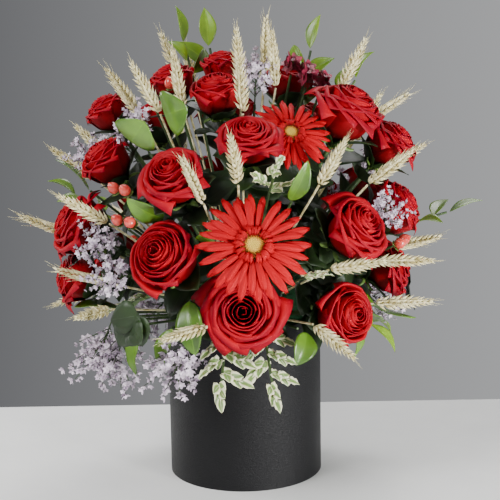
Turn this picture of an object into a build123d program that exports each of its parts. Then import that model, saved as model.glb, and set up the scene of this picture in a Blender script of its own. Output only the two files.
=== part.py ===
from build123d import *
import os
from math import asin, cos, degrees, radians, sin

os.makedirs("parts", exist_ok=True)

# Round hat-box style flower box with its planted arrangement. Millimetres, +Z up.
# The origin is the centre of the underside. The front of the arrangement faces -Y.

# Driving dimensions
BOX_D = 160.0            # outside diameter of the covered box
BOX_H = 170.0            # height of the box
BOARD = 2.5              # greyboard thickness
COVER = 0.5              # leatherette cover thickness
TURN_IN = 22.0           # how far the cover folds down inside the rim
LINING = 0.4             # thickness of the paper lining
POT_GAP = 1.2            # radial clearance between the lining and the liner pot
POT_WALL = 1.2           # wall of the plastic liner pot
POT_TAPER = 2.5          # how much smaller the pot's radius is at the bottom
POT_H = 150.0            # height of the liner pot
POT_RIM = 1.4            # how far the pot's rolled rim stands out
FOAM_GAP = 0.5           # clearance between the foam and the pot at its floor
FOAM_ABOVE_RIM = 44.0    # how far the foam stands above the box
FOAM_EDGE = 14.0         # chamfer trimmed off the foam's top edge

BOX_R = BOX_D / 2
BOARD_R = BOX_R - COVER
LINING_R = BOARD_R - BOARD
BASE_COVER_T = 0.8
FLOOR_Z = BASE_COVER_T + BOARD
POT_R = LINING_R - LINING - POT_GAP
FOAM_R = POT_R - POT_TAPER - POT_WALL - FOAM_GAP
FOAM_TOP = BOX_H + FOAM_ABOVE_RIM

# Every stem points away from one focus, at the height of the rim.
FOCUS = Vector(0, 0, BOX_H)
STEM_END = 36.0          # distance from the focus at which a stem ends inside the foam
ROSE_STEM_R = 2.5
GERBERA_STEM_R = 2.8
GERBERA_NECK = 11.0      # height of a gerbera's cup under its ring of petals
GERBERA_FOOT_R = 5.0     # radius of the flat foot of that cup
HEAD_GAP = 1.4           # a head that leans away from its stalk starts just beyond the stalk's end
WHEAT_STALK_R = 1.1
TWIG_R = 1.3

# Blooms: azimuth, elevation, distance from the focus to the bloom's widest part, radius.
# Azimuth 0 is the front and 90 is the right-hand side, in degrees.
ROSES = [
    (0, 14, 136, 38),
    (-29, 30, 176, 37),
    (-77, 31, 198, 36),
    (-73, 50, 220, 30),
    (-28, 50, 214, 33),
    (4, 60, 228, 30),
    (72, 62, 242, 39),
    (-22, 76, 244, 29),
    (50, 36, 180, 36),
    (42, 9, 150, 34),
    (80, 18, 162, 30),
    (85, 35, 194, 33),
    (87, 49, 234, 32),
    (-150, 82, 256, 26),
    (-98, 74, 252, 27),
    (-95, 57, 252, 26),
    (-84, 14, 180, 29),
    (128, 75, 244, 28),
    (122, 14, 148, 36),
    (163, 12, 142, 36),
    (-154, 13, 144, 35),
    (-116, 15, 160, 33),
    (116, 37, 188, 33),
    (150, 36, 182, 35),
    (-134, 38, 188, 34),
    (143, 58, 222, 31),
    (-173, 61, 226, 32),
    (-128, 59, 226, 30),
]
# Gerberas also have the azimuth and elevation that the head nods towards.
GERBERAS = [
    (4, 33, 186, 50, 4, 30),
    (34, 66, 214, 38, 15, 42),
    (-172, 38, 184, 46, -172, 36),
]
ROSE_PROFILE = [(0.17, -0.95), (0.30, -0.78), (0.62, -0.55), (0.90, -0.10), (0.88, 0.25), (0.60, 0.52)]

# Ears, sprigs and sprays: azimuth, elevation and distance of the base from the focus,
# then the azimuth and elevation in which the piece points.
WHEAT_LENGTH = 64.0
WHEAT_R = 5.5
WHEAT = {
    "wheat_left": [
        (-55, 66, 236, -80, 62),
        (-134, 70, 248, -100, 68),
        (-81, 64, 234, -85, 56),
        (-100, 42, 206, -88, 36),
        (-88, 26, 196, -86, 22),
        (-58, 36, 190, -75, 32),
        (-14, 44, 202, -38, 58),
        (-44, 70, 236, -40, 78),
        (-98, 10, 150, -82, -20),
        (-62, 18, 158, -78, 18),
        (-64, 8, 150, -30, 4),
    ],
    "wheat_front": [
        (2, 84, 240, -60, 86),
        (2, 68, 236, -10, 74),
        (-1, 49, 208, -14, 62),
        (35, 49, 200, 52, 56),
        (25, 8, 160, 44, -24),
        (32, 25, 172, 68, 12),
        (-14, 8, 142, -50, -3),
    ],
    "wheat_right": [
        (100, 84, 250, 95, 88),
        (60, 80, 240, -60, 86),
        (95, 66, 252, 80, 62),
        (68, 46, 196, 82, 38),
        (98, 44, 200, 92, 33),
        (102, 56, 232, 88, 32),
        (66, 24, 160, 84, 0),
        (96, 22, 164, 88, 12),
        (62, 9, 150, 86, 2),
    ],
    "wheat_back": [
        (112, 53, 214, 116, 56),
        (134, 26, 164, 134, 22),
        (142, 9, 148, 142, 4),
        (131, 46, 200, 128, 50),
        (168, 48, 202, 168, 52),
        (-153, 48, 206, -152, 52),
        (-150, 66, 240, -150, 70),
        (162, 70, 238, 162, 74),
        (176, 22, 160, 176, 18),
        (-134, 24, 164, -136, 20),
        (-112, 46, 210, -108, 42),
        (-136, 8, 150, -134, 2),
    ],
}

# Leafy sprigs: base, then where the sprig points, its roll about that line, and its leaves.
RUSCUS_LEAF = (38.0, 17.0)
RUSCUS = {
    "ruscus_left": [
        (-120, 77, 252, -110, 76, 0, 3),
        (-162, 70, 252, -150, 72, 0, 3),
    ],
    "ruscus_right": [
        (99, 26, 190, 92, 16, 0, 4),
        (112, 62, 236, 100, 56, 0, 3),
        (66, 12, 120, 72, -50, 0, 3),
    ],
    "ruscus_back": [
        (136, 67, 222, 140, 68, 0, 5),
        (-152, 27, 160, -152, 22, 0, 4),
        (-110, 32, 170, -106, 28, 0, 4),
        (116, 3, 112, 116, -38, 0, 4),
        (-172, 3, 112, -172, -36, 0, 3),
    ],
}

# Single broad leaves: base, direction, roll, length, width.
BROAD = {
    "laurel_leaves": [
        (-42, 55, 222, -65, 58, 0, 52, 30),
        (-34, 61, 228, 5, 76, 0, 48, 28),
        (20, 45, 198, 44, 64, 0, 50, 20),
        (88, 3, 126, 80, -20, 0, 52, 34),
        (66, 3, 116, 10, -66, 0, 50, 22),
        (-80, 3, 124, -76, 12, 0, 50, 25),
        (-54, 3, 118, -46, -70, 0, 56, 23),
        (-40, 3, 112, -28, -68, 0, 42, 20),
        (-21, 18, 138, -15, -74, 0, 52, 26),
        (27, 4, 118, 12, -66, 0, 44, 24),
        (-90, 40, 204, -84, 44, 0, 42, 16),
        (-14, 38, 156, -16, 48, 0, 32, 18),
        (-36, 42, 176, -60, 40, 0, 40, 20),
        (94, 58, 208, 98, 62, 0, 42, 22),
        (110, 25, 160, 112, 34, 0, 40, 22),
        (-100, 24, 156, -92, 26, 0, 38, 20),
        (146, 22, 150, 146, 0, 0, 46, 28),
        (-140, 50, 198, -126, 40, 0, 40, 22),
        (-123, 3, 116, -124, -40, 0, 50, 28),
        (102, 3, 112, 98, -44, 0, 50, 28),
    ],
}
PITTOSPORUM_LEAF = (26.0, 13.0)
PITTOSPORUM = {
    "pittosporum_front": [
        (-9, 3, 104, -8, -44, 0, 6),
        (11, 3, 106, 10, -48, 0, 6),
        (22, 24, 160, 26, 18, 0, 2),
        (12, 49, 196, 14, 44, 0, 3),
    ],
    "pittosporum_back": [
        (-118, 4, 114, -114, -26, 0, 5),
        (150, 3, 110, 150, -40, 0, 5),
    ],
}

# Filler leaves: a spiral of leaves inside the dome that hides the foam between the stems.
FILLER_COUNT = 420
FILLER_LEAF = (34.0, 19.0)
FILLER_REACH = (104.0, 128.0, 150.0, 174.0)
FILLER_LOW = 4.0
GOLDEN_TURN = 137.5

# Berries: base of a forked sprig and its direction; sprays of small florets likewise.
BERRY_R = 6.2
BERRY_LENGTH = 14.0
FORK = 9.0
HYPERICUM = {
    "hypericum_left": [
        (-62, 73, 246, -60, 74, 2),
        (-110, 66, 246, -100, 70, 1),
        (-50, 44, 206, -52, 46, 2),
        (-46, 37, 190, -48, 38, 2),
    ],
    "hypericum_right": [
        (101, 36, 198, 94, 36, 2),
        (72, 26, 180, 78, 30, 2),
    ],
    "hypericum_back": [
        (-178, 53, 206, -178, 52, 1),
        (-134, 20, 160, -134, 20, 2),
        (139, 48, 204, 139, 48, 2),
    ],
}
SPRAY_LENGTH = 50.0
SPRAY_R = 12.0
LIMONIUM = {
    "limonium_left": [
        (-90, 47, 196, -92, 46),
        (-64, 60, 204, -68, 60),
        (-58, 30, 158, -66, 26),
        (-50, 24, 148, -56, 6),
        (-71, 3, 140, -58, -66),
        (-64, 3, 126, -74, -66),
        (-28, 3, 106, -34, -48),
    ],
    "limonium_right": [
        (40, 84, 221, 30, 84),
        (68, 36, 160, 70, 40),
        (100, 8, 120, 98, -24),
    ],
    "limonium_back": [
        (108, 46, 180, 108, 44),
        (133, 36, 160, 133, 30),
        (-151, 34, 152, -150, 28),
        (-114, 52, 196, -110, 50),
        (134, 3, 104, 132, -40),
        (-134, 3, 106, -134, -44),
    ],
}
WAX_FLOWER_R = 7.0
WAX_FLOWERS = [
    (104, 74, 248, 96, 76),
    (96, 78, 252, 92, 80),
    (114, 68, 244, 108, 70),
    (88, 74, 244, 84, 74),
]


def direction(azimuth, elevation):
    """Unit vector for an azimuth from the front and an elevation above level."""
    flat = cos(radians(elevation))
    return Vector(
        flat * sin(radians(azimuth)),
        -flat * cos(radians(azimuth)),
        sin(radians(elevation)),
    )


def spot(azimuth, elevation, distance):
    return FOCUS + direction(azimuth, elevation) * distance


def ring(outer, inner, low, high):
    """A plain tube standing on the level `low`."""
    tube = Cylinder(outer, high - low) - Cylinder(inner, high - low)
    return Pos(0, 0, (low + high) / 2) * tube


def disc(radius, low, high):
    return Pos(0, 0, (low + high) / 2) * Cylinder(radius, high - low)


def turned(outline):
    """Revolve an outline of (radius, height) points about +Z."""
    edge = Polyline(*[(r, 0, z) for r, z in outline], close=True)
    return revolve(make_face(edge), Axis.Z)


def stalk(azimuth, elevation, start, end, radius):
    """A straight round stem along one ray from the focus."""
    ray = Plane(origin=spot(azimuth, elevation, start), z_dir=direction(azimuth, elevation))
    align = (Align.CENTER, Align.CENTER, Align.MIN)
    return ray.location * Cylinder(radius, end - start, align=align)


def rose_bloom(radius):
    """A bloom of revolution: calyx below, cupped petals widest at its origin."""
    sides = [(r * radius, z * radius) for r, z in ROSE_PROFILE]
    flank = Spline(*[(r, 0, z) for r, z in sides])
    foot = Polyline((0, 0, sides[-1][1] + 0.06 * radius), (0, 0, sides[0][1]), (sides[0][0], 0, sides[0][1]))
    crown = Line((sides[-1][0], 0, sides[-1][1]), (0, 0, sides[-1][1] + 0.06 * radius))
    return revolve(make_face([foot, flank, crown]), Axis.Z)


def gerbera_head(radius):
    """A domed disc with a thin, slightly dished ring of ray florets, from its foot up."""
    petal = 2.2
    rim = GERBERA_NECK + 1.5
    outline = [
        (0, 0), (GERBERA_FOOT_R, 0), (10, 7), (radius, rim), (radius, rim + petal),
        (13, rim + 1), (10, rim + 3.5), (0, rim + 4.5),
    ]
    return turned(outline)


def wheat_ear():
    """A slim spindle, rising from its base along +Z."""
    outline = [
        (0, 0), (WHEAT_STALK_R, 0), (0.85 * WHEAT_R, 0.12 * WHEAT_LENGTH),
        (WHEAT_R, 0.4 * WHEAT_LENGTH), (0.75 * WHEAT_R, 0.8 * WHEAT_LENGTH),
        (0.8, WHEAT_LENGTH), (0, WHEAT_LENGTH),
    ]
    return turned(outline)


def berry():
    """An egg-shaped berry, base at the origin, along +Z."""
    outline = [
        (0, 0), (2.2, 0), (0.85 * BERRY_R, 0.22 * BERRY_LENGTH), (BERRY_R, 0.5 * BERRY_LENGTH),
        (0.75 * BERRY_R, 0.8 * BERRY_LENGTH), (1.2, BERRY_LENGTH), (0, BERRY_LENGTH),
    ]
    return turned(outline)


def spray():
    """The outer shape of a small spray of florets, base at the origin, along +Z."""
    outline = [
        (0, 0), (TWIG_R, 0), (0.7 * SPRAY_R, 0.45 * SPRAY_LENGTH),
        (SPRAY_R, 0.8 * SPRAY_LENGTH), (0.6 * SPRAY_R, SPRAY_LENGTH), (0, SPRAY_LENGTH),
    ]
    return turned(outline)


def wax_flower():
    outline = [(0, 0), (1.5, 0), (WAX_FLOWER_R, 8), (WAX_FLOWER_R, 10), (0, 12)]
    return turned(outline)


def perch(azimuth, elevation, distance):
    """Where a leaning head starts: just clear of the end of its stalk."""
    return spot(azimuth, elevation, distance + HEAD_GAP)


def pointing(base, azimuth, elevation, shape):
    """Stand a +Z shape on a point, turned to face a direction."""
    return Plane(origin=base, z_dir=direction(azimuth, elevation)).location * shape


def leaf(base, along, face, length, width):
    """A thin pointed blade: `along` is its midrib and `face` is roughly its upper side."""
    thickness = 0.8
    normal = face - along * face.dot(along)
    plane = Plane(origin=base, x_dir=along, z_dir=normal.normalized())
    upper = ThreePointArc((0, 0), (0.45 * length, 0.5 * width), (length, 0))
    lower = ThreePointArc((length, 0), (0.45 * length, -0.5 * width), (0, 0))
    blade = extrude(make_face([upper, lower]), thickness / 2, both=True)
    return plane.location * blade


def leaf_face(along, base, roll):
    """The upper side of a leaf faces outwards and a little up, then rolls about the midrib."""
    outward = Vector(base.X, base.Y, 0).normalized() + Vector(0, 0, 0.35)
    if abs(outward.normalized().dot(along)) > 0.9:
        outward = Vector(0, 0, 1) - outward
    return outward.rotate(Axis((0, 0, 0), tuple(along)), roll)


def sprig_leaves(row, size):
    """Leaves set alternately left and right along a sprig, and one at its tip."""
    azimuth, elevation, distance, to_azimuth, to_elevation, roll, count = row
    length, width = size
    base = perch(azimuth, elevation, distance)
    axis = direction(to_azimuth, to_elevation)
    face = leaf_face(axis, base, roll)
    face = (face - axis * face.dot(axis)).normalized()
    side = axis.cross(face)
    step = 0.42 * length
    blades = [leaf(base + axis * (step * (count - 1) + 2.5), axis, face, length, width)]
    for index in range(count - 1):
        sign = 1 if index % 2 else -1
        along = (axis * 0.62 + side * (0.78 * sign)).normalized()
        start = base + axis * (step * index) + side * (sign * (TWIG_R + 0.4))
        blades.append(leaf(start, along, face, length, width))
    return blades, step * (count - 1)


def filler_leaves(rays, heads):
    """Leaves facing outwards on a spiral, kept where they miss every stem and bloom."""
    length, width = FILLER_LEAF
    blades = []
    for index in range(FILLER_COUNT):
        rise = sin(radians(FILLER_LOW)) + (0.99 - sin(radians(FILLER_LOW))) * index / FILLER_COUNT
        outward = direction(index * GOLDEN_TURN, degrees(asin(rise)))
        centre = FOCUS + outward * FILLER_REACH[index % len(FILLER_REACH)]
        level = Vector(-outward.Y, outward.X, 0).normalized()
        along = level.rotate(Axis((0, 0, 0), tuple(outward)), 60 + index * GOLDEN_TURN)
        blade_side = outward.cross(along)
        clear = True
        for ray in rays:
            across = FOCUS + ray * (FILLER_REACH[index % len(FILLER_REACH)] / max(ray.dot(outward), 0.2)) - centre
            inside = (across.dot(along) / (0.5 * length + 4)) ** 2 + (across.dot(blade_side) / (0.5 * width + 4)) ** 2
            clear = clear and (inside > 1 or ray.dot(outward) < 0.5)
        for middle, radius in heads:
            clear = clear and (centre - middle).length > radius + 0.4 * length
        if clear:
            blades.append(leaf(centre - along * (length / 2), along, outward, length, width))
    return blades


def straight(base, azimuth, elevation, length, radius):
    align = (Align.CENTER, Align.CENTER, Align.MIN)
    return pointing(base, azimuth, elevation, Cylinder(radius, length, align=align))


nodes = {}
stems = {"flower_stems": [], "wheat_stalks": [], "foliage_twigs": []}

# Box: a greyboard tube with a floor, covered outside and lined inside.
wrap_outline = [
    (BOX_R, 0.4), (BOX_R, BOX_H), (LINING_R - COVER, BOX_H), (LINING_R - COVER, BOX_H - TURN_IN),
    (LINING_R, BOX_H - TURN_IN), (LINING_R, BOX_H - COVER), (BOARD_R, BOX_H - COVER), (BOARD_R, 0.4),
]
nodes["box_tube"] = ring(BOARD_R, LINING_R, BASE_COVER_T, BOX_H - COVER)
nodes["box_cover"] = turned(wrap_outline)
nodes["base_board"] = disc(LINING_R, BASE_COVER_T, FLOOR_Z)
nodes["base_cover"] = disc(BOARD_R, 0, BASE_COVER_T)
nodes["inner_lining"] = ring(LINING_R, LINING_R - LINING, FLOOR_Z, BOX_H - TURN_IN)

# Liner pot: a tapered plastic cup with a rolled rim, standing on the base board.
pot_foot = POT_R - POT_TAPER
nodes["liner_pot"] = turned([
    (0, FLOOR_Z), (pot_foot, FLOOR_Z), (POT_R - POT_RIM, POT_H - 4), (POT_R, POT_H - 4), (POT_R, POT_H),
    (POT_R - POT_RIM - POT_WALL, POT_H), (pot_foot - POT_WALL, FLOOR_Z + POT_WALL), (0, FLOOR_Z + POT_WALL),
])

# Roses and gerberas: heads along their rays, with straight stems down into the foam.
for number, (azimuth, elevation, distance, radius) in enumerate(ROSES, start=1):
    place = spot(azimuth, elevation, distance)
    nodes[f"rose_{number:02d}"] = pointing(place, azimuth, elevation, rose_bloom(radius))
    neck = distance + ROSE_PROFILE[0][1] * radius
    stems["flower_stems"].append(stalk(azimuth, elevation, STEM_END, neck, ROSE_STEM_R))
for number, (azimuth, elevation, distance, radius, to_azimuth, to_elevation) in enumerate(GERBERAS, start=1):
    ray = direction(azimuth, elevation)
    nod = direction(to_azimuth, to_elevation)
    foot = spot(azimuth, elevation, distance) - nod * GERBERA_NECK
    dip = GERBERA_FOOT_R * ray.cross(nod).length
    neck = (foot - FOCUS).dot(ray) - dip - HEAD_GAP
    nodes[f"gerbera_{number:02d}"] = pointing(foot, to_azimuth, to_elevation, gerbera_head(radius))
    stems["flower_stems"].append(stalk(azimuth, elevation, STEM_END, neck, GERBERA_STEM_R))

# Wheat ears.
for name, rows in WHEAT.items():
    ears = []
    for azimuth, elevation, distance, to_azimuth, to_elevation in rows:
        base = perch(azimuth, elevation, distance)
        ears.append(pointing(base, to_azimuth, to_elevation, wheat_ear()))
        stems["wheat_stalks"].append(stalk(azimuth, elevation, STEM_END, distance, WHEAT_STALK_R))
    nodes[name] = Compound(children=ears)

# Leafy sprigs and single broad leaves.
for group, size in ((RUSCUS, RUSCUS_LEAF), (PITTOSPORUM, PITTOSPORUM_LEAF)):
    for name, rows in group.items():
        blades = []
        for row in rows:
            sprig, reach = sprig_leaves(row, size)
            blades += sprig
            stems["foliage_twigs"].append(stalk(row[0], row[1], STEM_END, row[2], TWIG_R))
            stems["foliage_twigs"].append(straight(perch(*row[:3]), row[3], row[4], reach, TWIG_R))
        nodes[name] = Compound(children=blades)
for name, rows in BROAD.items():
    blades = []
    for azimuth, elevation, distance, to_azimuth, to_elevation, roll, length, width in rows:
        base = perch(azimuth, elevation, distance)
        along = direction(to_azimuth, to_elevation)
        blades.append(leaf(base, along, leaf_face(along, base, roll), length, width))
        stems["foliage_twigs"].append(stalk(azimuth, elevation, STEM_END, distance, TWIG_R))
    nodes[name] = Compound(children=blades)

# Berries, fine sprays and small wax flowers.
for name, rows in HYPERICUM.items():
    berries = []
    for azimuth, elevation, distance, to_azimuth, to_elevation, count in rows:
        base = perch(azimuth, elevation, distance)
        across = direction(azimuth + 90, 0)
        for index in range(count):
            offset = (index - (count - 1) / 2) * 2 * FORK
            turn = (index - (count - 1) / 2) * 10
            berries.append(pointing(base + across * offset, to_azimuth + turn, to_elevation, berry()))
        stems["foliage_twigs"].append(stalk(azimuth, elevation, STEM_END, distance, TWIG_R))
    nodes[name] = Compound(children=berries)
for name, rows in LIMONIUM.items():
    sprays = []
    for azimuth, elevation, distance, to_azimuth, to_elevation in rows:
        sprays.append(pointing(perch(azimuth, elevation, distance), to_azimuth, to_elevation, spray()))
        stems["foliage_twigs"].append(stalk(azimuth, elevation, STEM_END, distance, TWIG_R))
    nodes[name] = Compound(children=sprays)
flowers = []
for azimuth, elevation, distance, to_azimuth, to_elevation in WAX_FLOWERS:
    flowers.append(pointing(perch(azimuth, elevation, distance), to_azimuth, to_elevation, wax_flower()))
    stems["foliage_twigs"].append(stalk(azimuth, elevation, STEM_END, distance, TWIG_R))
nodes["wax_flowers"] = Compound(children=flowers)

# Filler leaves between all the stems and under all the heads.
rays = []
for rows in [ROSES, GERBERAS, WAX_FLOWERS, *WHEAT.values(), *RUSCUS.values(), *PITTOSPORUM.values(),
             *BROAD.values(), *HYPERICUM.values(), *LIMONIUM.values()]:
    rays += [direction(row[0], row[1]) for row in rows]
heads = [(spot(row[0], row[1], row[2]), row[3]) for row in ROSES + GERBERAS]
heads += [(spot(row[0], row[1], row[2] + 10), 16) for rows in LIMONIUM.values() for row in rows]
heads += [(spot(row[0], row[1], row[2] + 10), 20) for rows in BROAD.values() for row in rows]
heads += [(spot(row[0], row[1], row[2] + 12), 22) for rows in PITTOSPORUM.values() for row in rows]
heads += [(spot(row[0], row[1], row[2] + 22), 26) for rows in WHEAT.values() for row in rows]
nodes["filler_leaves"] = Compound(children=filler_leaves(rays, heads))

# Floral foam: a round plug trimmed at its top edge, with a hole for every stem.
foam = chamfer(disc(FOAM_R, FLOOR_Z + POT_WALL, FOAM_TOP).edges().group_by(Axis.Z)[-1], FOAM_EDGE)
for name, parts in stems.items():
    nodes[name] = Compound(children=parts)
    for part in parts:
        foam -= part
nodes["floral_foam"] = foam

for name, shape in nodes.items():
    export_step(shape, f"parts/{name}.step")
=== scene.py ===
from math import cos, pi, radians, sin
from random import Random

import bpy
import numpy as np
from mathutils import Matrix, Vector


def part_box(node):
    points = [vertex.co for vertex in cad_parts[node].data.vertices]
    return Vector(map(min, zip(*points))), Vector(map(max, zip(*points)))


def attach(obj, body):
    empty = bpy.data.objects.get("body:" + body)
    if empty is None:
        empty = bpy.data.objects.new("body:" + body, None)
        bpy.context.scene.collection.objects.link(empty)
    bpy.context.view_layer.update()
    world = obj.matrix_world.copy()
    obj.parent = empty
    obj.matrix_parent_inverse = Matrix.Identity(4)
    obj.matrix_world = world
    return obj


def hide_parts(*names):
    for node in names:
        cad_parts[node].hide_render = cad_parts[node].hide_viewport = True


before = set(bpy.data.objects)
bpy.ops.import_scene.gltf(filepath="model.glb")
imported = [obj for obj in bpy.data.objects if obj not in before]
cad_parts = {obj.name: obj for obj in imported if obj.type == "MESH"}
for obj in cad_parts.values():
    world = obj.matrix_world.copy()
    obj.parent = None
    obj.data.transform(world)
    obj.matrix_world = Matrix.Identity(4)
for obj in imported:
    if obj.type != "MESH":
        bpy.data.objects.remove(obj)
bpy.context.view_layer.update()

# Round flower box: a covered hat-box cylinder, planted with roses, gerberas, wheat and foliage.
# Lengths are metres. Every head, leaf and ear takes its place from its own solid in the frame.
MM = 0.001
COVER_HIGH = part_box("box_cover")[1]
FOCUS = Vector((0, 0, COVER_HIGH.z))          # every stem points away from here
UP = Vector((0, 0, 1))

# ---------------------------------------------------------------- materials


def linear(hex_colour):
    """sRGB hex to a linear RGBA tuple."""
    parts = [int(hex_colour[i:i + 2], 16) / 255 for i in (1, 3, 5)]
    return tuple(p / 12.92 if p <= 0.04045 else ((p + 0.055) / 1.055) ** 2.4 for p in parts) + (1.0,)


def per_metre(millimetres):
    """Pattern scale for features of this size on Object coordinates."""
    return 1000.0 / millimetres


def add(material, kind, settings=None, **links):
    """One node, with settings by socket or attribute name, and links given as (node, socket)."""
    node = material.node_tree.nodes.new(kind)
    for key, value in (settings or {}).items():
        if isinstance(key, int) or key in node.inputs:
            node.inputs[key].default_value = value
        else:
            setattr(node, key, value)
    for key, (source, socket) in links.items():
        name = key.replace("_", " ")
        material.node_tree.links.new(source.outputs[socket], node.inputs[name])
    return node


def noise(material, place, grain_mm, detail):
    """Noise of a real grain size on Object coordinates."""
    return add(material, "ShaderNodeTexNoise", {"Scale": per_metre(grain_mm), "Detail": detail},
               Vector=(place, "Object"))


def finish_of(name, **settings):
    """A new material with its Principled shader set up."""
    material = bpy.data.materials.new(name)
    material.use_nodes = True
    shader = material.node_tree.nodes["Principled BSDF"]
    for key, value in settings.items():
        shader.inputs[key.replace("_", " ")].default_value = value
    return material, shader


def ramp(material, source, socket, stops):
    """A colour ramp over a factor, with (position, hex) stops."""
    node = material.node_tree.nodes.new("ShaderNodeValToRGB")
    while len(node.color_ramp.elements) < len(stops):
        node.color_ramp.elements.new(0.5)
    for element, (position, colour) in zip(node.color_ramp.elements, stops):
        element.position = position
        element.color = linear(colour)
    material.node_tree.links.new(source.outputs[socket], node.inputs["Fac"])
    return node


def blend_colour(material, factor, first, second, mode="MIX"):
    """Mix two colours, each a hex value or a (node, socket) pair, by a factor node or number."""
    node = material.node_tree.nodes.new("ShaderNodeMix")
    node.data_type = "RGBA"
    node.blend_type = mode
    if isinstance(factor, tuple):
        material.node_tree.links.new(factor[0].outputs[factor[1]], node.inputs[0])
    else:
        node.inputs[0].default_value = factor
    for index, colour in ((6, first), (7, second)):
        if isinstance(colour, str):
            node.inputs[index].default_value = linear(colour)
        else:
            material.node_tree.links.new(colour[0].outputs[colour[1]], node.inputs[index])
    return node, 2


def connect(material, source, socket, shader, name):
    material.node_tree.links.new(source.outputs[socket], shader.inputs[name])


def petal_finish(name, stops, vein_scale):
    """Soft fresh petal: colour runs from base to rim, with fine lengthwise veins."""
    material, shader = finish_of(name, Roughness=0.58, Specular_IOR_Level=0.14,
                                 Subsurface_Weight=0.04, Subsurface_Scale=2 * MM,
                                 Subsurface_Radius=(1.0, 0.25, 0.2))
    place = add(material, "ShaderNodeTexCoord")
    split = add(material, "ShaderNodeSeparateXYZ", Vector=(place, "UV"))
    cloud = noise(material, place, 30, 3.0)
    height = add(material, "ShaderNodeMath", {"operation": "MULTIPLY_ADD", 1: 0.28, 2: -0.14})
    material.node_tree.links.new(cloud.outputs["Fac"], height.inputs[0])
    sum_ = add(material, "ShaderNodeMath", {"operation": "ADD"})
    material.node_tree.links.new(split.outputs["Y"], sum_.inputs[0])
    material.node_tree.links.new(height.outputs[0], sum_.inputs[1])
    colour = ramp(material, sum_, 0, stops)
    connect(material, colour, "Color", shader, "Base Color")
    stretch = add(material, "ShaderNodeMapping", {"Scale": (40.0, 2.5, 1.0)}, Vector=(place, "UV"))
    veins = add(material, "ShaderNodeTexNoise", {"Scale": vein_scale, "Detail": 2.0},
                Vector=(stretch, "Vector"))
    bump = add(material, "ShaderNodeBump", {"Strength": 0.25, "Distance": 0.4 * MM}, Height=(veins, "Fac"))
    connect(material, bump, "Normal", shader, "Normal")
    return material


def leaf_finish(name, dark, bright, roughness, rib_count, coat=0.0):
    """Waxy leaf: a pale midrib and side veins, with patchy greens."""
    material, shader = finish_of(name, Roughness=roughness, Specular_IOR_Level=0.5, Coat_Weight=coat,
                                 Coat_Roughness=0.25, Subsurface_Weight=0.05, Subsurface_Scale=1 * MM)
    place = add(material, "ShaderNodeTexCoord")
    cloud = noise(material, place, 45, 4.0)
    body = ramp(material, cloud, "Fac", [(0.32, dark), (0.68, bright)])
    split = add(material, "ShaderNodeSeparateXYZ", Vector=(place, "UV"))
    off = add(material, "ShaderNodeMath", {"operation": "SUBTRACT", 1: 0.5})
    material.node_tree.links.new(split.outputs["X"], off.inputs[0])
    away = add(material, "ShaderNodeMath", {"operation": "ABSOLUTE"})
    material.node_tree.links.new(off.outputs[0], away.inputs[0])
    rib = ramp(material, away, 0, [(0.0, "#FFFFFF"), (0.035, "#000000")])
    slant = add(material, "ShaderNodeMath", {"operation": "MULTIPLY_ADD", 1: -0.7})
    material.node_tree.links.new(away.outputs[0], slant.inputs[0])
    material.node_tree.links.new(split.outputs["Y"], slant.inputs[2])
    ribs = add(material, "ShaderNodeMath", {"operation": "MULTIPLY", 1: rib_count * 2 * pi})
    material.node_tree.links.new(slant.outputs[0], ribs.inputs[0])
    wave = add(material, "ShaderNodeMath", {"operation": "SINE"})
    material.node_tree.links.new(ribs.outputs[0], wave.inputs[0])
    side = ramp(material, wave, 0, [(0.90, "#000000"), (1.0, "#606060")])
    lines = add(material, "ShaderNodeMath", {"operation": "ADD"})
    material.node_tree.links.new(rib.outputs["Color"], lines.inputs[0])
    material.node_tree.links.new(side.outputs["Color"], lines.inputs[1])
    soft = add(material, "ShaderNodeMath", {"operation": "MULTIPLY", 1: 0.45})
    material.node_tree.links.new(lines.outputs[0], soft.inputs[0])
    colour, socket = blend_colour(material, (soft, 0), (body, "Color"), bright)
    connect(material, colour, socket, shader, "Base Color")
    bump = add(material, "ShaderNodeBump", {"Strength": 0.4, "Distance": 0.3 * MM, "invert": True},
               Height=(lines, 0))
    connect(material, bump, "Normal", shader, "Normal")
    return material


def variegated_finish():
    """Pittosporum leaf: grey-green centre and an irregular cream margin."""
    material, shader = finish_of("pittosporum leaf", Roughness=0.42,
                                 Subsurface_Weight=0.05, Subsurface_Scale=1 * MM)
    place = add(material, "ShaderNodeTexCoord")
    split = add(material, "ShaderNodeSeparateXYZ", Vector=(place, "UV"))
    off = add(material, "ShaderNodeMath", {"operation": "SUBTRACT", 1: 0.5})
    material.node_tree.links.new(split.outputs["X"], off.inputs[0])
    away = add(material, "ShaderNodeMath", {"operation": "ABSOLUTE"})
    material.node_tree.links.new(off.outputs[0], away.inputs[0])
    cloud = noise(material, place, 9, 4.0)
    shift = add(material, "ShaderNodeMath", {"operation": "MULTIPLY_ADD", 1: 0.35, 2: -0.17})
    material.node_tree.links.new(cloud.outputs["Fac"], shift.inputs[0])
    edge = add(material, "ShaderNodeMath", {"operation": "ADD"})
    material.node_tree.links.new(away.outputs[0], edge.inputs[0])
    material.node_tree.links.new(shift.outputs[0], edge.inputs[1])
    colour = ramp(material, edge, 0, [(0.0, "#A9B58A"), (0.06, "#5F7F3E"), (0.22, "#7D9A54"),
                                       (0.30, "#E2E3B8"), (0.5, "#EDEBCB")])
    connect(material, colour, "Color", shader, "Base Color")
    return material


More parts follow.
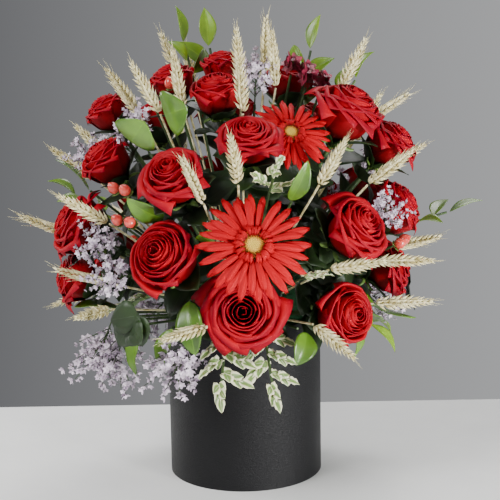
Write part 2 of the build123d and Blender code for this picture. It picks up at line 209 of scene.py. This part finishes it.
def speckled_finish(name, low, high, grain_mm, roughness, bump_mm=0.0, **extra):
    """A plain natural surface with a noise of two colours at a real grain size."""
    material, shader = finish_of(name, Roughness=roughness, **extra)
    place = add(material, "ShaderNodeTexCoord")
    cloud = noise(material, place, grain_mm, 4.0)
    colour = ramp(material, cloud, "Fac", [(0.35, low), (0.65, high)])
    connect(material, colour, "Color", shader, "Base Color")
    if bump_mm:
        bump = add(material, "ShaderNodeBump", {"Strength": 0.6, "Distance": bump_mm * MM},
                   Height=(cloud, "Fac"))
        connect(material, bump, "Normal", shader, "Normal")
    return material


def leatherette_finish():
    """Embossed black leatherette: short wavy grain running round the box, about 2 mm long."""
    material, shader = finish_of("black leatherette", Specular_IOR_Level=0.22)
    place = add(material, "ShaderNodeTexCoord")
    flat = add(material, "ShaderNodeMapping", {"Scale": (1.0, 1.0, 3.2)}, Vector=(place, "Object"))
    grain = add(material, "ShaderNodeTexNoise", {"Scale": per_metre(3.0), "Detail": 5.0, "Roughness": 0.6,
                                                 "Distortion": 0.9}, Vector=(flat, "Vector"))
    fine = add(material, "ShaderNodeTexVoronoi", {"Scale": per_metre(1.6)}, Vector=(flat, "Vector"))
    both = add(material, "ShaderNodeMath", {"operation": "MULTIPLY_ADD", 1: 0.35})
    material.node_tree.links.new(fine.outputs["Distance"], both.inputs[0])
    material.node_tree.links.new(grain.outputs["Fac"], both.inputs[2])
    colour = ramp(material, both, 0, [(0.35, "#060607"), (0.8, "#101012")])
    connect(material, colour, "Color", shader, "Base Color")
    gloss = add(material, "ShaderNodeMapRange", {"From Min": 0.3, "From Max": 0.9,
                                                   "To Min": 0.38, "To Max": 0.54})
    material.node_tree.links.new(both.outputs[0], gloss.inputs["Value"])
    connect(material, gloss, "Result", shader, "Roughness")
    bump = add(material, "ShaderNodeBump", {"Strength": 0.9, "Distance": 0.6 * MM}, Height=(both, 0))
    connect(material, bump, "Normal", shader, "Normal")
    return material


# The rose ramp darkens to near black at the petal base: painted shade down in the heart of the bloom. The reds
# towards the rim are the petal's own colour.
ROSE = petal_finish("fresh rose petal",
                    [(0.0, "#120001"), (0.42, "#640006"), (0.84, "#B00018"), (1.0, "#8C001C")],
                    2.0)
GERBERA = petal_finish("gerbera ray petal", [(0.0, "#5C0004"), (0.3, "#A80010"), (1.0, "#B40014")], 3.0)
SEPAL = speckled_finish("rose sepal", "#3F5A22", "#6C8A3A", 6, 0.5)
# Stem greens are partly the stems' own green and partly painted shade, kept dark for the gaps between heads.
STEM = speckled_finish("green stem", "#1E3010", "#3A5220", 8, 0.6)
STRAW = speckled_finish("dried wheat straw", "#B3A56A", "#EFE8BC", 5, 0.55, 0.2, Sheen_Weight=0.05)
RUSCUS = leaf_finish("ruscus leaf", "#3E5F10", "#7FA322", 0.36, 0.0, 0.15)
LAUREL = leaf_finish("laurel leaf", "#2C4A12", "#6E9A2A", 0.34, 9.0, 0.25)
# Filler greens are near black: painted shade, for leaves set in the gaps between heads where shade falls.
PAINTED_SHADE_LEAF = leaf_finish("filler leaf painted dark for shade", "#0C1A08", "#22380F", 0.5, 9.0)
PITTOSPORUM = variegated_finish()
BERRY = speckled_finish("coral hypericum berry", "#C8302A", "#EA5A4A", 5, 0.22,
                         Coat_Weight=0.4, Coat_Roughness=0.1)
FLORET = speckled_finish("dry limonium floret", "#B9A7BC", "#E6DCE4", 4, 0.8)
WAX = speckled_finish("burgundy wax flower", "#5A0A1E", "#A02848", 4, 0.45)
DISC_STOPS = [(0.0, "#C7B03C"), (0.30, "#E8C55A"), (0.46, "#D88A2C"),
              (0.62, "#8A1606"), (0.80, "#C93A12"), (1.0, "#E9A63A")]


def disc_finish():
    """Gerbera eye: yellow-green middle, a dark red ring and orange anthers, read across its width."""
    material, shader = finish_of("gerbera disc florets", Roughness=0.6)
    place = add(material, "ShaderNodeTexCoord")
    split = add(material, "ShaderNodeSeparateXYZ", Vector=(place, "UV"))
    colour = ramp(material, split, "X", DISC_STOPS)
    connect(material, colour, "Color", shader, "Base Color")
    return material


DISC = disc_finish()
LEATHERETTE = leatherette_finish()
PAPER = speckled_finish("black base paper", "#141414", "#222222", 2, 0.85, 0.05)
BOARD = speckled_finish("greyboard", "#77726A", "#8F8A80", 1.5, 0.9, 0.05)
PLASTIC = speckled_finish("moulded black liner plastic", "#1A1B1C", "#232425", 12, 0.45)
FOAM = speckled_finish("wet floral foam", "#1E4A2C", "#2F6B40", 0.8, 0.95, 0.4)

# ---------------------------------------------------------------- frames read from the solids


def triangles(node):
    """Corner points of a node's triangles, n x 3 x 3."""
    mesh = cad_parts[node].data
    points = np.array([v.co for v in mesh.vertices], float)
    mesh.calc_loop_triangles()
    return points[np.array([t.vertices for t in mesh.loop_triangles])]


def islands(node):
    """The separate solids of a node, each as its triangles."""
    corners = triangles(node)
    keys = {}
    owner = []
    parent = []

    def root(i):
        while parent[i] != i:
            parent[i] = parent[parent[i]]
            i = parent[i]
        return i

    for triangle in np.round(corners / (0.02 * MM)).astype(int):
        ids = []
        for corner in triangle:
            key = tuple(corner)
            if key not in keys:
                keys[key] = len(parent)
                parent.append(len(parent))
            ids.append(keys[key])
        for other in ids[1:]:
            parent[root(other)] = root(ids[0])
        owner.append(ids[0])
    groups = {}
    for index, first in enumerate(owner):
        groups.setdefault(root(first), []).append(index)
    return [corners[rows] for rows in groups.values()]


def moments(corners):
    """Area-weighted centre and principal axes, longest first."""
    cross = np.cross(corners[:, 1] - corners[:, 0], corners[:, 2] - corners[:, 0])
    area = np.linalg.norm(cross, axis=1)
    middle = corners.mean(axis=1)
    centre = (middle * area[:, None]).sum(0) / area.sum()
    points = corners.reshape(-1, 3) - centre
    weight = np.repeat(area, 3)
    spread = (points * weight[:, None]).T @ points
    values, vectors = np.linalg.eigh(spread)
    return centre, vectors[:, ::-1].T


def seat(corners, outward=None):
    """Base point, axis, length and widths of a solid whose base is the end nearest the focus."""
    centre, axes = moments(corners)
    axis = axes[0] if outward is None else np.array(outward.normalized())
    middle = np.array(FOCUS)
    if (centre - middle) @ axis < 0:
        axis = -axis
    points = corners.reshape(-1, 3)
    along = (points - centre) @ axis
    base = centre + axis * along.min()
    radial = points - base - np.outer((points - base) @ axis, axis)
    return Vector(base), Vector(axis), float(np.ptp(along)), float(np.linalg.norm(radial, axis=1).max()), axes


def turn_to(axis, face):
    """Rotation whose Z runs along `axis` and whose Y leans towards `face`."""
    z = axis.normalized()
    x = face.cross(z)
    x = x.normalized() if x.length > 1e-6 else z.orthogonal().normalized()
    y = z.cross(x)
    return Matrix((x, y, z)).transposed().to_4x4()


# ---------------------------------------------------------------- modelling helpers


def alone(piece):
    bpy.ops.object.select_all(action="DESELECT")
    piece.select_set(True)
    bpy.context.view_layer.objects.active = piece


def grid(name, across, along, shape):
    """A grid primitive from (-1, 0) to (1, 1), each point then moved by shape(u, v)."""
    bpy.ops.object.select_all(action="DESELECT")
    bpy.ops.mesh.primitive_grid_add(x_subdivisions=across, y_subdivisions=along, size=2)
    piece = bpy.context.object
    piece.name = name
    for vertex in piece.data.vertices:
        vertex.co = shape(vertex.co.x, (vertex.co.y + 1) / 2)
    return piece


def spoke(turn, radius, side, height):
    """A point out along the spoke at an angle, and a step to its side."""
    return Vector((radius * cos(turn) - side * sin(turn), radius * sin(turn) + side * cos(turn), height))


def thicken(piece, thickness):
    alone(piece)
    solid = piece.modifiers.new("thickness", "SOLIDIFY")
    solid.thickness = thickness
    solid.offset = 0
    bpy.ops.object.modifier_apply(modifier=solid.name)
    return piece


def copy_at(template, matrix):
    piece = template.copy()
    piece.data = template.data.copy()
    bpy.context.collection.objects.link(piece)
    piece.data.transform(matrix)
    piece.matrix_world = Matrix.Identity(4)
    return piece


def joined(name, pieces, material):
    bpy.ops.object.select_all(action="DESELECT")
    for piece in pieces:
        piece.select_set(True)
    bpy.context.view_layer.objects.active = pieces[0]
    if len(pieces) > 1:
        bpy.ops.object.join()
    whole = bpy.context.view_layer.objects.active
    whole.name = name
    whole.data.materials.clear()
    whole.data.materials.append(material)
    bpy.ops.object.shade_smooth()
    return whole


def plant(piece, slot, *nodes):
    """The piece rides with the lifted arrangement and stands for its solids."""
    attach(piece, "arrangement")
    if nodes:
        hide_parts(*nodes)
    return piece


def discard(*pieces):
    for piece in pieces:
        bpy.data.objects.remove(piece)


def through(stops, v):
    """Smooth curve through (v, value) stops."""
    for (v0, a), (v1, b) in zip(stops, stops[1:]):
        if v <= v1:
            t = (v - v0) / (v1 - v0)
            t = t * t * (3 - 2 * t) * 0.5 + t * 0.5
            return a + (b - a) * t
    return stops[-1][1]


# ---------------------------------------------------------------- roses

PETALS = 28
GOLDEN = radians(137.5)


def rose_petal(age, turn, opening, wobble):
    """Point function of one petal: age 0 is the bud's heart, age 1 an outer guard petal."""
    belly = 0.085 + 0.70 * age ** 0.85
    lip = belly * (0.84 + 0.05 * opening) + 0.30 * opening * age ** 1.5
    top = 0.60 - (0.20 + 0.24 * opening) * age ** 1.7
    half = radians(108 - 54 * age)
    curl = 0.13 * age * opening
    radius_stops = [(0, 0.07 + 0.08 * age), (0.35, belly * 0.80), (0.66, belly),
                    (0.88, 0.6 * belly + 0.4 * lip), (1, lip)]
    height_stops = [(0, -0.82), (0.35, -0.46), (0.66, 0.42 * top - 0.06), (0.88, top), (1, top - curl * 0.55)]

    def point(u, v):
        swell = (0.34 + 0.66 * sin(min(1.0, v * 1.25) * pi / 2)) * (1 - 0.22 * max(0.0, v - 0.72) / 0.28 * age)
        rim = max(0.0, v - 0.6) / 0.4
        angle = turn + half * swell * u
        radius = through(radius_stops, v) * (1 + 0.09 * u)
        height = through(height_stops, v)
        side = u * u
        radius += (0.13 * age * opening * side + 0.012 * sin(7 * u + wobble)) * rim
        height -= (0.20 + 0.10 * age) * side * rim * through([(0, 0.25), (1, 1)], age)
        height += 0.05 * age * opening * max(0.0, 1 - 2.4 * abs(u)) * rim ** 3
        height += 0.016 * sin(5 * u + wobble * 2) * rim
        return Vector((radius * cos(angle), radius * sin(angle), height))

    return point


def rose_bloom(name, opening, seed):
    """All petals of one bloom, of unit radius, widest at the origin and opening along +Z."""
    random = Random(seed)
    petals = []
    for index in range(PETALS):
        age = (index / (PETALS - 1)) ** 0.9
        turn = index * GOLDEN + random.uniform(-0.2, 0.2)
        jitter = opening * random.uniform(0.85, 1.15)
        cells = 9 if age < 0.4 else 12
        petal = grid("petal", cells, cells, rose_petal(age, turn, jitter, random.uniform(0, 6)))
        petals.append(thicken(petal, 0.012))
    return joined(name, petals, ROSE)


def sepal_point(turn, droop):
    def point(u, v):
        width = 0.10 * sin(pi * min(1.0, v * 0.8 + 0.18)) * (1 - v) ** 0.5
        radius = 0.14 + 0.42 * sin(v * pi / 2)
        height = -0.84 + droop * v * v - 0.06 * u * u
        return spoke(turn, radius, u * width, height)
    return point


def rose_calyx(name):
    """The swollen hip and five narrow sepals under a bloom of unit radius."""
    bpy.ops.object.select_all(action="DESELECT")
    bpy.ops.mesh.primitive_uv_sphere_add(segments=14, ring_count=8, radius=0.17, location=(0, 0, -0.86))
    hip = bpy.context.object
    hip.data.transform(Matrix.Translation(hip.location))
    hip.location = (0, 0, 0)
    sepals = []
    for index, droop in enumerate((0.1, -0.2, 0.16, -0.05, 0.05)):
        sepals.append(thicken(grid("sepal", 3, 7, sepal_point(2 * pi * index / 5, droop)), 0.02))
    return joined(name, [hip] + sepals, SEPAL)


CAD_WIDEST = 0.91         # widest part of a bloom's solid, as a share of its radius
CAD_FOOT = 0.95           # depth of its foot below the widest part
BLOOM_GROWTH = 1.06       # loose outer petals reach a little past the solid
rose_types = [rose_bloom("open_rose", 1.0, 3), rose_bloom("half_open_rose", 0.72, 8),
              rose_bloom("wide_rose", 1.2, 12)]
calyx_type = rose_calyx("calyx")
rose_nodes = sorted(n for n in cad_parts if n.startswith("rose_"))
calyces = []
for index, node in enumerate(rose_nodes):
    corners = triangles(node)
    centre = Vector(moments(corners)[0])
    base, axis, _, widest, _ = seat(corners, centre - FOCUS)
    radius = widest / CAD_WIDEST
    roll = Matrix.Rotation(index * 2.1, 4, "Z")
    place = Matrix.Translation(base + axis * radius * CAD_FOOT) @ turn_to(axis, UP)
    place = place @ Matrix.Scale(radius * BLOOM_GROWTH, 4) @ roll
    kind = 1 if radius < 28 * MM else (2 if index % 5 == 0 else index % 2)
    bloom = joined(node + "_petals", [copy_at(rose_types[kind], place)], ROSE)
    plant(bloom, "rose_petal", node)
    calyces.append(copy_at(calyx_type, place))
plant(joined("rose_calyces", calyces, SEPAL), "green_stem")
discard(*rose_types, calyx_type)

# ---------------------------------------------------------------- gerberas


def ray_petal(row):
    """Point function of one ray floret of a gerbera of unit radius, lying along +X."""
    length = (1.0, 0.86, 0.36)[row]
    lift = (0.03, 0.10, 0.17)[row]

    def point(u, v):
        swell = 0.45 + 0.55 * sin(min(1.0, v * 1.5) * pi / 2)
        width = (0.070, 0.064, 0.030)[row] * swell * (1 - max(0.0, v - 0.8) ** 2 * 14)
        notch = 0.03 * max(0.0, v - 0.9) / 0.1 * cos(3 * pi * u)
        radius = 0.17 + (length - 0.17) * v + notch
        groove = 0.012 * cos(2 * pi * u) - 0.02 * u * u
        height = lift + 0.09 * sin(v * pi * 0.9) - 0.06 * v + groove
        return Vector((radius, u * width, height))

    return point


def gerbera_type(seed):
    """Ray florets in two long rows and one short one, and the domed eye of small florets."""
    random = Random(seed)
    rays = []
    for row, count in ((0, 24), (1, 21), (2, 34)):
        template = thicken(grid("ray", 6, 10, ray_petal(row)), 0.010)
        for index in range(count):
            turn = 2 * pi * (index + 0.5 * row) / count + random.uniform(-0.04, 0.04)
            size = random.uniform(0.95, 1.03)
            lift = Matrix.Rotation(random.uniform(-0.07, 0.05), 4, "Y")
            tip = lift @ Matrix.Rotation(random.uniform(-0.2, 0.2), 4, "X")
            rays.append(copy_at(template, Matrix.Rotation(turn, 4, "Z") @ tip @ Matrix.Scale(size, 4)))
        discard(template)
    petals = joined("rays", rays, GERBERA)
    florets = []
    bpy.ops.object.select_all(action="DESELECT")
    bpy.ops.mesh.primitive_cone_add(vertices=5, radius1=0.016, radius2=0.006, depth=0.05)
    bud = bpy.context.object
    count = 210
    for index in range(count):
        share = (index + 0.5) / count
        reach = 0.285 * share ** 0.5
        height = 0.155 - 0.06 * share ** 3 + (0.035 if 0.45 < share < 0.8 else 0.0)
        spot = Vector((reach * cos(index * GOLDEN), reach * sin(index * GOLDEN), height))
        floret = copy_at(bud, Matrix.Translation(spot) @ turn_to(UP + spot * 0.9, Vector((0, 1, 0))))
        for loop in floret.data.uv_layers[0].data:
            loop.uv = (share ** 0.5, 0.5)
        florets.append(floret)
    bpy.ops.object.select_all(action="DESELECT")
    bpy.ops.mesh.primitive_uv_sphere_add(segments=24, ring_count=10, radius=0.28)
    eye = bpy.context.object
    eye.data.transform(Matrix.Translation((0, 0, 0.05)) @ Matrix.Diagonal((1, 1, 0.38, 1)))
    for loop in eye.data.uv_layers[0].data:
        loop.uv = (0.1, 0.5)
    discard(bud)
    return petals, joined("eye", florets + [eye], DISC)


gerbera_petals, gerbera_eye = gerbera_type(5)
calyces = []
for node in sorted(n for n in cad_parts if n.startswith("gerbera_")):
    corners = triangles(node)
    flat_axis = Vector(moments(corners)[1][2])       # a head is thinnest along its own axis, even when it nods
    base, axis, _, widest, _ = seat(corners, flat_axis)
    radius = widest * 1.07
    place = Matrix.Translation(base + axis * 11 * MM) @ turn_to(axis, UP) @ Matrix.Scale(radius, 4)
    plant(joined(node + "_rays", [copy_at(gerbera_petals, place)], GERBERA), "gerbera_petal", node)
    plant(joined(node + "_eye", [copy_at(gerbera_eye, place)], DISC), "gerbera_petal")
    under = Matrix.Translation(base + axis * 8 * MM) @ turn_to(-axis, UP) @ Matrix.Scale(radius * 0.9, 4)
    calyces.append(copy_at(gerbera_eye, under))
plant(joined("gerbera_calyces", calyces, SEPAL), "green_stem")
discard(gerbera_petals, gerbera_eye)

# ---------------------------------------------------------------- wheat


def husk():
    """One pointed glume, 1 long, along +Z, from a small sphere drawn out to a beak."""
    bpy.ops.object.select_all(action="DESELECT")
    bpy.ops.mesh.primitive_uv_sphere_add(segments=7, ring_count=7, radius=0.5)
    piece = bpy.context.object
    for vertex in piece.data.vertices:
        z = vertex.co.z + 0.5
        narrow = 0.44 * (1 - max(0.0, z - 0.45) * 0.9)
        vertex.co = Vector((vertex.co.x * narrow, vertex.co.y * narrow * 0.8, z * (1 + 0.25 * (z > 0.98))))
    return piece


def awn():
    bpy.ops.object.select_all(action="DESELECT")
    bpy.ops.mesh.primitive_cone_add(vertices=3, radius1=0.5, radius2=0.12, depth=1, location=(0, 0, 0))
    piece = bpy.context.object
    piece.data.transform(Matrix.Translation((0, 0, 0.5)))
    return piece


def wheat_ear(seed):
    """An ear of unit length along +Z: two ranks of plaited spikelets with short beards."""
    random = Random(seed)
    glume, beard = husk(), awn()
    parts = []
    rows = 19
    for index in range(rows):
        share = index / (rows - 1)
        side = 1 if index % 2 else -1
        girth = 0.55 + 0.45 * sin(pi * min(1.0, 0.2 + share * 0.85))
        height = 0.02 + 0.84 * share
        for fan in (-1, 0, 1):
            size = 0.150 * girth * random.uniform(0.92, 1.08)
            lean = Matrix.Rotation(radians(20 * side + random.uniform(-5, 5)) * (1 - 0.45 * share), 4, "Y")
            spread = Matrix.Rotation(radians(30 * fan + random.uniform(-5, 5)) * (1 - 0.4 * share), 4, "X")
            shift = Matrix.Translation((0.020 * side * girth, -0.020 * fan * girth, height))
            parts.append(copy_at(glume, shift @ lean @ spread @ Matrix.Diagonal((size, size, size * 1.05, 1))))
            if fan == 0 and share > 0.35:
                reach = random.uniform(0.10, 0.26)
                tip = shift @ lean @ spread @ Matrix.Translation((0, 0, size * 0.95))
                parts.append(copy_at(beard, tip @ Matrix.Diagonal((0.009, 0.009, reach, 1))))
    discard(glume, beard)
    return joined("ear", parts, STRAW)


ear_types = [wheat_ear(seed) for seed in (2, 7, 11)]
count = 0
for node in sorted(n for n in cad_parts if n.startswith("wheat_") and n != "wheat_stalks"):
    ears = []
    for corners in islands(node):
        base, axis, length, _, _ = seat(corners)
        place = Matrix.Translation(base) @ turn_to(axis, UP) @ Matrix.Scale(length * 0.97, 4)
        ears.append(copy_at(ear_types[count % 3], place @ Matrix.Rotation(count * 1.3, 4, "Z")))
        count += 1
    plant(joined(node + "_ears", ears, STRAW), "wheat_straw", node)
discard(*ear_types)

# ---------------------------------------------------------------- leaves


def leaf_type(name, fullness, fold, arch, ripple, cells=(8, 14)):
    """A leaf of unit length along +Z and unit width along X, facing +Y."""
    def point(u, v):
        width = 0.5 * sin(pi * v ** 0.85) ** fullness
        x = u * width
        wave = ripple * sin(v * 17 + (2 if u > 0 else 0)) * u * u
        y = fold * abs(u) * sin(pi * v) + arch * (0.25 - (v - 0.5) ** 2) + wave
        return Vector((x, y, v))
    return thicken(grid(name, *cells, point), 0.010)


def fan_type(name, blade, places, material):
    """Several copies of a leaf in the space of one: each (start, turn, tip, share of the length)."""
    blades = []
    for start, turn, tip, share in places:
        lean = Matrix.Rotation(radians(turn), 4, "Y") @ Matrix.Rotation(radians(tip), 4, "X")
        blades.append(copy_at(blade, Matrix.Translation((0, 0, start)) @ lean @ Matrix.Scale(share, 4)))
    return joined(name, blades, material)


def leaf_group(node, template, material, slot, growth=1.0):
    blades = []
    for index, corners in enumerate(islands(node)):
        base, axis, length, _, axes = seat(corners)
        normal = Vector(axes[2])
        middle = Vector(corners.reshape(-1, 3).mean(0))
        outward = (middle - FOCUS).normalized() + UP * 0.3 + Vector((0, -0.2, 0))
        if normal.dot(outward) < 0:
            normal = -normal
        side = Vector(axes[1])
        points = corners.reshape(-1, 3)
        width = float(np.ptp(points @ np.array(side)))
        wobble = 1 + 0.12 * sin(index * 2.7)
        bow = length * (0.75 + 0.5 * sin(index * 1.9) ** 2)
        size = Matrix.Diagonal((width * growth * wobble, bow, length * growth * wobble, 1))
        blades.append(copy_at(template, Matrix.Translation(base) @ turn_to(axis, normal) @ size))
    return plant(joined(node + "_blades", blades, material), slot, node)


ruscus_leaf = leaf_type("ruscus", 1.0, 0.10, 0.35, 0.0)
laurel_leaf = leaf_type("laurel", 0.72, 0.08, 0.45, 0.012)
small_leaf = leaf_type("small", 0.72, 0.08, 0.35, 0.02, (4, 8))
cream_leaf = leaf_type("cream", 0.8, 0.10, 0.30, 0.08, (5, 9))
CREAM_TUFT = [(0.0, 48, 12, 0.46), (0.08, -52, -10, 0.48), (0.26, 42, -14, 0.46), (0.36, -40, 12, 0.46),
              (0.52, 6, 0, 0.52)]
SHADE_FAN = [(0.1, 0, 0, 0.95), (0.15, 46, 16, 0.80), (0.15, -46, -14, 0.80), (0.45, 84, -12, 0.66),
            (0.45, -84, 12, 0.66)]
cream_tuft = fan_type("cream_tuft", cream_leaf, CREAM_TUFT, PITTOSPORUM)
shade_fan = fan_type("shade_fan", small_leaf, SHADE_FAN, PAINTED_SHADE_LEAF)
for node in sorted(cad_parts):
    if node.startswith("ruscus"):
        leaf_group(node, ruscus_leaf, RUSCUS, "ruscus_leaf")
    if node.startswith("pittosporum"):
        leaf_group(node, cream_tuft, PITTOSPORUM, "variegated_leaf", 1.25)
leaf_group("laurel_leaves", laurel_leaf, LAUREL, "broad_leaf")
# The filler leaves, and the fans that stand in for them, wear the near-black painted-shade green.
leaf_group("filler_leaves", shade_fan, PAINTED_SHADE_LEAF, "broad_leaf", 1.75)

COLLAR = 6                # dark leaves around the neck of each rose, their near-black green painted shade filling the gaps
collar = []
for index, node in enumerate(rose_nodes):
    corners = triangles(node)
    base, axis, _, widest, _ = seat(corners, Vector(moments(corners)[0]) - FOCUS)
    size = Matrix.Diagonal((widest * 0.95, widest, widest * 1.55, 1))
    for step in range(COLLAR):
        turn = Matrix.Rotation(2 * pi * step / COLLAR + index, 4, "Z")
        lean = Matrix.Rotation(radians(58 + 12 * (step % 2)), 4, "X")
        neck = base - axis * (0.15 + 0.5 * (step % 2)) * widest
        collar.append(copy_at(small_leaf, Matrix.Translation(neck) @ turn_to(axis, UP) @ turn @ lean @ size))
plant(joined("rose_collar_shade_leaves", collar, PAINTED_SHADE_LEAF), "broad_leaf")
discard(ruscus_leaf, laurel_leaf, small_leaf, cream_leaf, cream_tuft, shade_fan)

# ---------------------------------------------------------------- berries


def berry_type():
    """A glossy egg-shaped berry of unit length and its five small sepals."""
    bpy.ops.object.select_all(action="DESELECT")
    bpy.ops.mesh.primitive_uv_sphere_add(segments=16, ring_count=12, radius=0.5, location=(0, 0, 0))
    egg = bpy.context.object
    for vertex in egg.data.vertices:
        z = vertex.co.z + 0.5
        waist = 0.86 * (1 - 0.30 * z * z)
        vertex.co = Vector((vertex.co.x * waist, vertex.co.y * waist, 0.08 + 0.92 * z + 0.08 * (z > 0.99)))

    def cup(turn):
        def point(u, v):
            width = 0.17 * sin(pi * (0.25 + 0.75 * v)) ** 0.8
            radius = 0.10 + 0.36 * v
            height = 0.04 + 0.10 * v * v
            return spoke(turn, radius, u * width, height)
        return point
    sepals = [thicken(grid("cup", 3, 5, cup(2 * pi * i / 5)), 0.03) for i in range(5)]
    return egg, joined("cups", sepals, SEPAL)


egg_type, cup_type = berry_type()
cups = []
for node in sorted(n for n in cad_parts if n.startswith("hypericum")):
    eggs = []
    for index, corners in enumerate(islands(node)):
        base, axis, length, _, _ = seat(corners)
        place = Matrix.Translation(base) @ turn_to(axis, UP) @ Matrix.Scale(length, 4)
        place = place @ Matrix.Rotation(index * 1.1, 4, "Z")
        eggs.append(copy_at(egg_type, place))
        cups.append(copy_at(cup_type, place))
    plant(joined(node + "_berries", eggs, BERRY), "coral_berry", node)
plant(joined("hypericum_sepals", cups, SEPAL), "green_stem")
discard(egg_type, cup_type)

# ---------------------------------------------------------------- limonium and wax flowers


def twig(start, end, thickness):
    """A thin four-sided twig between two points."""
    bpy.ops.object.select_all(action="DESELECT")
    run = end - start
    bpy.ops.mesh.primitive_cone_add(vertices=4, radius1=thickness, radius2=thickness * 0.6, depth=run.length)
    piece = bpy.context.object
    piece.data.transform(Matrix.Translation((start + end) / 2) @ turn_to(run, UP))
    return piece


def floret(petals, size, cupped):
    """A tiny open flower of a few pointed petals."""
    blades = []
    for index in range(petals):
        turn = 2 * pi * index / petals

        def point(u, v, turn=turn):
            width = size * 0.42 * sin(pi * (0.12 + 0.8 * v))
            radius = size * v
            height = size * cupped * v ** 0.8
            return spoke(turn, radius, u * width, height)
        blades.append(grid("floret", 1, 2, point))
    return blades


def spray_type(seed, branches, heads, petals, size, cupped, spread):
    """A forked spray of unit length along +Z; returns its florets and its twigs."""
    random = Random(seed)
    bloom = joined("bloom", floret(petals, size, cupped), FLORET)
    flowers, twigs = [], [twig(Vector((0, 0, -0.1)), Vector((0, 0, 0.55)), 0.014)]
    for branch in range(branches):
        turn = branch * GOLDEN
        start = Vector((0, 0, 0.1 + 0.5 * branch / branches))
        reach = random.uniform(0.7, 1.0)
        top = start.z + random.uniform(0.25, 0.5)
        end = Vector((spread * cos(turn) * reach, spread * sin(turn) * reach, top))
        twigs.append(twig(start, end, 0.008))
        for head in range(heads):
            share = 0.35 + 0.65 * head / max(1, heads - 1)
            spot = start.lerp(end, share) + Vector([random.uniform(-0.05, 0.05) for _ in range(3)])
            face = (end - start).normalized() + Vector([random.uniform(-0.8, 0.8) for _ in range(3)])
            place = Matrix.Translation(spot) @ turn_to(face, UP) @ Matrix.Scale(random.uniform(0.7, 1.2), 4)
            flowers.append(copy_at(bloom, place))
    discard(bloom)
    return joined("flowers", flowers, FLORET), joined("twigs", twigs, STEM)


spray_types = [spray_type(seed, 17, 9, 5, 0.055, 0.7, 0.42) for seed in (4, 9)]
twigs = []
count = 0
for node in sorted(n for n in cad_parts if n.startswith("limonium")):
    flowers = []
    for corners in islands(node):
        base, axis, length, _, _ = seat(corners)
        trail = 1.5 if axis.z < -0.5 else 1.08
        place = Matrix.Translation(base) @ turn_to(axis, UP) @ Matrix.Scale(length * trail, 4)
        place = place @ Matrix.Rotation(count, 4, "Z")
        flowers.append(copy_at(spray_types[count % 2][0], place))
        twigs.append(copy_at(spray_types[count % 2][1], place))
        count += 1
    plant(joined(node + "_florets", flowers, FLORET), "lilac_floret", node)
wax_type = spray_type(6, 7, 1, 5, 0.34, 0.35, 0.5)
flowers = []
for corners in islands("wax_flowers"):
    base, axis, length, _, _ = seat(corners, Vector(moments(corners)[0]) - FOCUS)
    place = Matrix.Translation(base) @ turn_to(axis, UP) @ Matrix.Scale(length * 2.0, 4)
    flowers.append(copy_at(wax_type[0], place))
    twigs.append(copy_at(wax_type[1], place))
plant(joined("wax_flower_petals", flowers, WAX), "wax_petal", "wax_flowers")
plant(joined("spray_twigs", twigs, STEM), "green_stem")
discard(*[piece for pair in spray_types + [wax_type] for piece in pair])

# ---------------------------------------------------------------- parts of the box and the stems

for node, material in {
    "box_cover": LEATHERETTE, "box_tube": BOARD, "base_board": BOARD,
    "base_cover": PAPER, "inner_lining": PAPER,
    "liner_pot": PLASTIC, "floral_foam": FOAM,
    "flower_stems": STEM, "foliage_twigs": STEM, "wheat_stalks": STRAW,
}.items():
    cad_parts[node].data.materials.clear()
    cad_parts[node].data.materials.append(material)

# ---------------------------------------------------------------- studio

TABLE_SIZE = 6.0
TABLE_BACK = 0.22         # the table ends this far behind the box
bpy.ops.object.select_all(action="DESELECT")
bpy.ops.mesh.primitive_plane_add(size=TABLE_SIZE, location=(0, TABLE_BACK - TABLE_SIZE / 2, 0))
floor = bpy.context.object
floor.name = "studio_floor"
FLOOR = speckled_finish("matt white table", "#F4F4F2", "#F8F8F6", 60, 0.6)
floor.data.materials.append(FLOOR)

world = bpy.data.worlds.new("studio")
bpy.context.scene.world = world
world.use_nodes = True
sky = add(world, "ShaderNodeTexCoord")
sides = add(world, "ShaderNodeSeparateXYZ", Vector=(sky, "Generated"))
across = add(world, "ShaderNodeMapRange", {"From Min": -0.16, "From Max": 0.16}, Value=(sides, "X"))
shade = ramp(world, across, "Result", [(0.0, "#8A8B8E"), (1.0, "#D6D7D9")])
connect(world, shade, "Color", world.node_tree.nodes["Background"], "Color")
world.node_tree.nodes["Background"].inputs["Strength"].default_value = 0.6


def softbox(name, place, target, size, watts):
    light = bpy.data.lights.new(name, "AREA")
    light.shape = "SQUARE"
    light.size = size
    light.energy = watts
    lamp = bpy.data.objects.new(name, light)
    bpy.context.collection.objects.link(lamp)
    lamp.location = place
    lamp.rotation_euler = (Vector(target) - Vector(place)).to_track_quat("-Z", "Y").to_euler()


AIM = (0, 0, 0.25)
softbox("key_left", (-1.1, -1.1, 1.5), AIM, 0.8, 42)
softbox("front_right", (0.9, -1.0, 0.14), (0, 0, 0.10), 0.25, 26)
softbox("left_rim", (-1.3, 0.6, 0.5), (0, 0, 0.12), 0.6, 8)
softbox("back_top", (0.3, 1.0, 1.6), AIM, 0.8, 18)

# Camera: level with the arrangement's upper part and a little above it, on a long lens.
camera_data = bpy.data.cameras.new("camera")
camera_data.sensor_width = 36
camera_data.lens = 113
camera = bpy.data.objects.new("camera", camera_data)
bpy.context.collection.objects.link(camera)
camera.location = (0.0077, -1.6, 0.573)
CAMERA_DIP, CAMERA_ROLL = radians(11.9), radians(-0.95)
tilt = Matrix.Rotation(pi / 2 - CAMERA_DIP, 3, "X")
camera.rotation_euler = (tilt @ Matrix.Rotation(CAMERA_ROLL, 3, "Z")).to_euler()
bpy.context.scene.camera = camera
